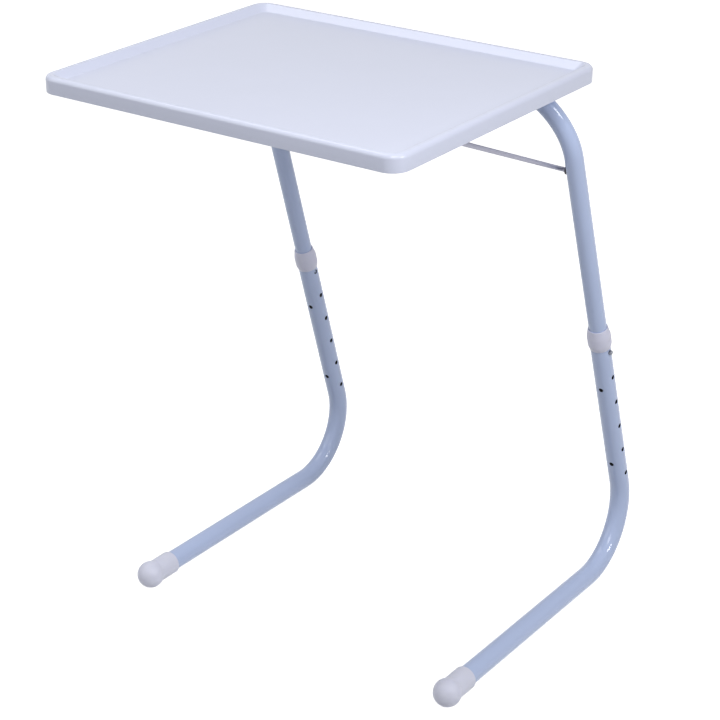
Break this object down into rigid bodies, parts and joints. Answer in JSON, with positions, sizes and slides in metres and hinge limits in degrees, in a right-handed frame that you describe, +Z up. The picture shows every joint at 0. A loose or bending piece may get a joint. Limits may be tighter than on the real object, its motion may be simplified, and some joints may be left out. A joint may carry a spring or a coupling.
{
  "type": "folding tray table",
  "caption": "Moulded tray on a U-shaped tube frame with a wire prop, telescoping L-shaped legs with snap buttons, and ball feet.",
  "frame": {"origin": "on the floor, under the middle of the table's box", "axes": "+Z up, -Y towards the user (the side the feet point to), +X to the right seen from the front"},
  "size_m": [0.512, 0.5738, 0.741],
  "materials": {
    "tray_plastic": "satin moulded",
    "strap_plastic": "satin moulded",
    "screw_steel": "zinc plated",
    "tube_paint": "glossy powder coat",
    "prop_steel": "grey coat",
    "grommet_black": "moulded",
    "clip_steel": "spring steel",
    "collar_plastic": "satin moulded",
    "cap_plastic": "satin moulded"
  },
  "bodies": {
    "frame": {"upper_frame": "tube_paint", "prop_grommet_left": "grommet_black", "prop_grommet_right": "grommet_black", "guide_bush_left": "collar_plastic", "guide_bush_right": "collar_plastic"},
    "tray": {"tray_top": "tray_plastic", "saddle_strap_left": "strap_plastic", "saddle_strap_right": "strap_plastic", "saddle_screws": "screw_steel"},
    "prop": {"prop_wire": "prop_steel"},
    "collar_left": {"leg_collar_left": "collar_plastic"},
    "leg_left": {"lower_leg_left": "tube_paint", "foot_cap_left": "cap_plastic"},
    "button_left": {"snap_clip_left": "clip_steel"},
    "collar_right": {"leg_collar_right": "collar_plastic"},
    "leg_right": {"lower_leg_right": "tube_paint", "foot_cap_right": "cap_plastic"},
    "button_right": {"snap_clip_right": "clip_steel"}
  },
  "joints": [
    {"name": "tray_fold", "type": "hinge", "parent": "frame", "child": "tray", "pos_m": [0, 0.08247, 0.7179], "axis": [1, 0, 0], "range_deg": [0, 103.5]},
    {"name": "prop_swing", "type": "hinge", "parent": "frame", "child": "prop", "pos_m": [0, 0.11759, 0.60651], "axis": [1, 0, 0], "range_deg": [0, 125.59]},
    {"name": "left_height", "type": "slide", "parent": "frame", "child": "collar_left", "axis": [0.0112, -0.3007, 0.9537], "range_m": [0, 0.21]},
    {"name": "left_turn", "type": "hinge", "parent": "collar_left", "child": "leg_left", "pos_m": [-0.238, 0.30513, 0.01169], "axis": [0.0112, -0.3007, 0.9537], "range_deg": [0, 90]},
    {"name": "left_button", "type": "slide", "parent": "frame", "child": "button_left", "axis": [0.9999, 0.0034, -0.0107], "range_m": [0, 0.005], "stiffness_N_per_m": 1500, "deforming": ["snap_clip_left"]},
    {"name": "right_height", "type": "slide", "parent": "frame", "child": "collar_right", "axis": [-0.0112, -0.3007, 0.9537], "range_m": [0, 0.21]},
    {"name": "right_turn", "type": "hinge", "parent": "collar_right", "child": "leg_right", "pos_m": [0.238, 0.30513, 0.01169], "axis": [0.0112, 0.3007, -0.9537], "range_deg": [0, 97]},
    {"name": "right_button", "type": "slide", "parent": "frame", "child": "button_right", "axis": [-0.9999, 0.0034, -0.0107], "range_m": [0, 0.005], "stiffness_N_per_m": 1500, "deforming": ["snap_clip_right"]}
  ],
  "couplings": [
    {"joint": "prop_swing", "follows": "tray_fold", "ratio": 1.2133}
  ]
}
